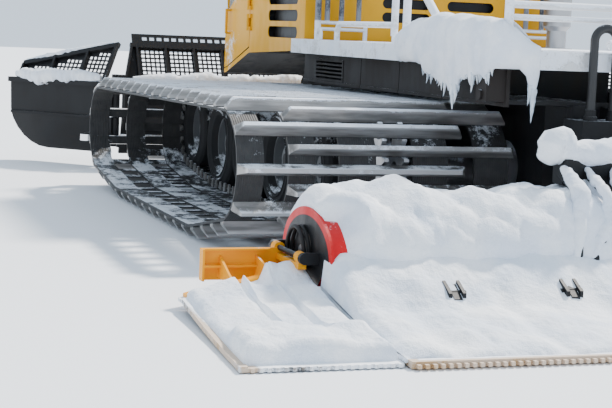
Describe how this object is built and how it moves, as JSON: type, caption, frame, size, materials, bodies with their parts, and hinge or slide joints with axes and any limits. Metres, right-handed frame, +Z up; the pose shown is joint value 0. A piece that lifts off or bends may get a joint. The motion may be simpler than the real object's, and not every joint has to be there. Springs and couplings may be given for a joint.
{
  "type": "snowcat groomer",
  "caption": "Tracked snow groomer with a glazed cab, a load deck, a folding front blade on cylinders and a rear tiller with smoothing mats and side finishers.",
  "frame": {"origin": "middle of the bounding box on the ground under the track bars, on the machine's centre plane", "axes": "+X forward to the blade, +Y to the machine's left, +Z up"},
  "size_m": [8.1132, 5.468, 2.906],
  "materials": {
    "yellow_paint": "gloss paint, weathered",
    "red_paint": "gloss paint, worn",
    "orange_paint": "gloss paint, worn",
    "dark_paint": "satin paint",
    "grey_paint": "satin paint",
    "light_paint": "satin paint",
    "bare_steel": "brushed",
    "rod_chrome": "polished",
    "cast_block": "rough cast",
    "tyre_rubber": "matte",
    "track_belt": "matte, frosted",
    "hose_rubber": "matte",
    "mat_rubber": "matte, frosted",
    "black_plastic": "fine grain",
    "lamp_plastic": "clear",
    "seat_fabric": "woven",
    "cab_pane": "clear, lightly frosted"
  },
  "bodies": {
    "chassis": {"tub": "dark_paint", "axles": "dark_paint", "engine": "cast_block", "sprockets": "bare_steel", "tyres": "tyre_rubber", "rims": "grey_paint", "track_left": "track_belt", "track_right": "track_belt", "side_panels": "dark_paint", "hoses": "hose_rubber", "deck": "light_paint", "deck_rails": "light_paint", "cab_shell": "yellow_paint", "cab_roof": "yellow_paint", "cab_glass": "cab_pane", "seats": "seat_fabric", "console": "black_plastic", "lamps": "lamp_plastic", "mirrors": "black_plastic", "exhaust": "bare_steel"},
    "door_left": {"door_left": "yellow_paint", "door_glass_left": "cab_pane"},
    "door_right": {"door_right": "yellow_paint", "door_glass_right": "cab_pane"},
    "push_frame": {"push_frame": "dark_paint"},
    "blade_yoke": {"blade_yoke": "dark_paint"},
    "blade": {"blade": "dark_paint", "blade_screen": "dark_paint"},
    "wing_left": {"wing_left": "dark_paint", "wing_mesh_left": "dark_paint"},
    "wing_right": {"wing_right": "dark_paint", "wing_mesh_right": "dark_paint"},
    "blade_lift_barrels": {"blade_lift_barrels": "grey_paint"},
    "blade_lift_rods": {"blade_lift_rods": "rod_chrome"},
    "angle_barrel_left": {"angle_barrel_left": "grey_paint"},
    "angle_rod_left": {"angle_rod_left": "rod_chrome"},
    "angle_barrel_right": {"angle_barrel_right": "grey_paint"},
    "angle_rod_right": {"angle_rod_right": "rod_chrome"},
    "wing_barrel_left": {"wing_barrel_left": "grey_paint"},
    "wing_rod_left": {"wing_rod_left": "rod_chrome"},
    "wing_barrel_right": {"wing_barrel_right": "grey_paint"},
    "wing_rod_right": {"wing_rod_right": "rod_chrome"},
    "carrier": {"carrier": "dark_paint"},
    "swing_head": {"swing_head": "dark_paint"},
    "tiller": {"tiller_frame": "dark_paint", "tiller_cover": "red_paint", "mats": "mat_rubber"},
    "rotor_left": {"rotor_left": "bare_steel"},
    "rotor_right": {"rotor_right": "bare_steel"},
    "finisher_left": {"finisher_left": "orange_paint", "finisher_mats_left": "mat_rubber"},
    "finisher_right": {"finisher_right": "orange_paint", "finisher_mats_right": "mat_rubber"},
    "tiller_lift_barrels": {"tiller_lift_barrels": "grey_paint"},
    "tiller_lift_rods": {"tiller_lift_rods": "rod_chrome"}
  },
  "joints": [
    {"name": "door_left_hinge", "type": "hinge", "parent": "chassis", "child": "door_left", "pos_m": [1.90736, 0.966, 1.3], "axis": [0, 0, 1], "range_deg": [0, 75]},
    {"name": "door_right_hinge", "type": "hinge", "parent": "chassis", "child": "door_right", "pos_m": [1.90736, -0.966, 1.3], "axis": [0, 0, -1], "range_deg": [0, 75]},
    {"name": "blade_lift", "type": "hinge", "parent": "chassis", "child": "push_frame", "pos_m": [1.94336, 0, 0.43], "axis": [0, -1, 0], "range_deg": [-6, 15]},
    {"name": "blade_angle", "type": "hinge", "parent": "push_frame", "child": "blade_yoke", "pos_m": [2.90336, 0, 0.43], "axis": [0, 0, 1], "range_deg": [-15, 15]},
    {"name": "blade_tilt", "type": "hinge", "parent": "blade_yoke", "child": "blade", "pos_m": [3.23336, 0, 0.43], "axis": [1, 0, 0], "range_deg": [-8, 8]},
    {"name": "wing_left_fold", "type": "hinge", "parent": "blade", "child": "wing_left", "pos_m": [3.35336, 1.625, 0.5], "axis": [0, 0, -1], "range_deg": [-55, 20]},
    {"name": "wing_right_fold", "type": "hinge", "parent": "blade", "child": "wing_right", "pos_m": [3.35336, -1.625, 0.5], "axis": [0, 0, 1], "range_deg": [-55, 20]},
    {"name": "blade_lift_barrel_turn", "type": "hinge", "parent": "chassis", "child": "blade_lift_barrels", "pos_m": [2.16336, 0, 0.74], "axis": [0, -1, 0], "range_deg": [-8.64, 20.09]},
    {"name": "blade_lift_rod_slide", "type": "slide", "parent": "blade_lift_barrels", "child": "blade_lift_rods", "axis": [0.9147, 0, -0.4042], "range_m": [-0.0973, 0.0407]},
    {"name": "angle_barrel_left_turn", "type": "hinge", "parent": "push_frame", "child": "angle_barrel_left", "pos_m": [2.43336, 0.4, 0.43], "axis": [0, 0, 1], "range_deg": [-7.05, 7.05]},
    {"name": "angle_rod_left_slide", "type": "slide", "parent": "angle_barrel_left", "child": "angle_rod_left", "axis": [0.9602, 0.2793, 0], "range_m": [-0.1377, 0.1377]},
    {"name": "angle_barrel_right_turn", "type": "hinge", "parent": "push_frame", "child": "angle_barrel_right", "pos_m": [2.43336, -0.4, 0.43], "axis": [0, 0, 1], "range_deg": [-7.05, 7.05]},
    {"name": "angle_rod_right_slide", "type": "slide", "parent": "angle_barrel_right", "child": "angle_rod_right", "axis": [0.9602, -0.2793, 0], "range_m": [-0.1377, 0.1377]},
    {"name": "wing_barrel_left_turn", "type": "hinge", "parent": "blade", "child": "wing_barrel_left", "pos_m": [3.16336, 1, 0.25], "axis": [0, 0, -1], "range_deg": [-13.38, 5.5]},
    {"name": "wing_rod_left_slide", "type": "slide", "parent": "wing_barrel_left", "child": "wing_rod_left", "axis": [0.0885, 0.9961, 0], "range_m": [-0.1802, 0.0674]},
    {"name": "wing_barrel_right_turn", "type": "hinge", "parent": "blade", "child": "wing_barrel_right", "pos_m": [3.16336, -1, 0.25], "axis": [0, 0, 1], "range_deg": [-13.38, 5.5]},
    {"name": "wing_rod_right_slide", "type": "slide", "parent": "wing_barrel_right", "child": "wing_rod_right", "axis": [0.0885, -0.9961, 0], "range_m": [-0.1802, 0.0674]},
    {"name": "tiller_lift", "type": "hinge", "parent": "chassis", "child": "carrier", "pos_m": [-1.88664, 0, 0.47], "axis": [0, 1, 0], "range_deg": [-3, 25]},
    {"name": "tiller_swing", "type": "hinge", "parent": "carrier", "child": "swing_head", "pos_m": [-2.65864, 0, 0.59], "axis": [0, 0, 1], "range_deg": [-12, 12]},
    {"name": "tiller_tilt", "type": "hinge", "parent": "swing_head", "child": "tiller", "pos_m": [-2.79464, 0, 0.59], "axis": [1, 0, 0], "range_deg": [-8, 8]},
    {"name": "tiller_lift_barrel_turn", "type": "hinge", "parent": "chassis", "child": "tiller_lift_barrels", "pos_m": [-1.87664, 0, 0.79], "axis": [0, 1, 0], "range_deg": [-3.63, 22.88]},
    {"name": "tiller_lift_rod_slide", "type": "slide", "parent": "tiller_lift_barrels", "child": "tiller_lift_rods", "axis": [-0.9658, 0, -0.2591], "range_m": [-0.1404, 0.0195]},
    {"name": "rotor_left_spin", "type": "hinge", "parent": "tiller", "child": "rotor_left", "pos_m": [-2.82664, 0, 0.232], "axis": [0, 1, 0], "continuous": true},
    {"name": "finisher_left_fold", "type": "hinge", "parent": "tiller", "child": "finisher_left", "pos_m": [-2.82764, 2.18, 0.235], "axis": [1, 0, 0], "range_deg": [0, 95]},
    {"name": "rotor_right_spin", "type": "hinge", "parent": "tiller", "child": "rotor_right", "pos_m": [-2.82664, 0, 0.232], "axis": [0, 1, 0], "continuous": true},
    {"name": "finisher_right_fold", "type": "hinge", "parent": "tiller", "child": "finisher_right", "pos_m": [-2.82764, -2.18, 0.235], "axis": [-1, 0, 0], "range_deg": [0, 95]}
  ],
  "couplings": [
    {"joint": "blade_lift_barrel_turn", "follows": "blade_lift", "ratio": 1.2729},
    {"joint": "blade_lift_rod_slide", "follows": "blade_lift", "m_per_rad": -0.36004},
    {"joint": "angle_barrel_left_turn", "follows": "blade_angle", "ratio": 0.40351},
    {"joint": "angle_rod_left_slide", "follows": "blade_angle", "m_per_rad": -0.51435},
    {"joint": "angle_barrel_right_turn", "follows": "blade_angle", "ratio": 0.40351},
    {"joint": "angle_rod_right_slide", "follows": "blade_angle", "m_per_rad": 0.51435},
    {"joint": "wing_barrel_left_turn", "follows": "wing_left_fold", "ratio": 0.22508},
    {"joint": "wing_rod_left_slide", "follows": "wing_left_fold", "m_per_rad": 0.18461},
    {"joint": "wing_barrel_right_turn", "follows": "wing_right_fold", "ratio": 0.22508},
    {"joint": "wing_rod_right_slide", "follows": "wing_right_fold", "m_per_rad": 0.18461},
    {"joint": "tiller_lift_barrel_turn", "follows": "tiller_lift", "ratio": 0.87515},
    {"joint": "tiller_lift_rod_slide", "follows": "tiller_lift", "m_per_rad": -0.31491}
  ]
}
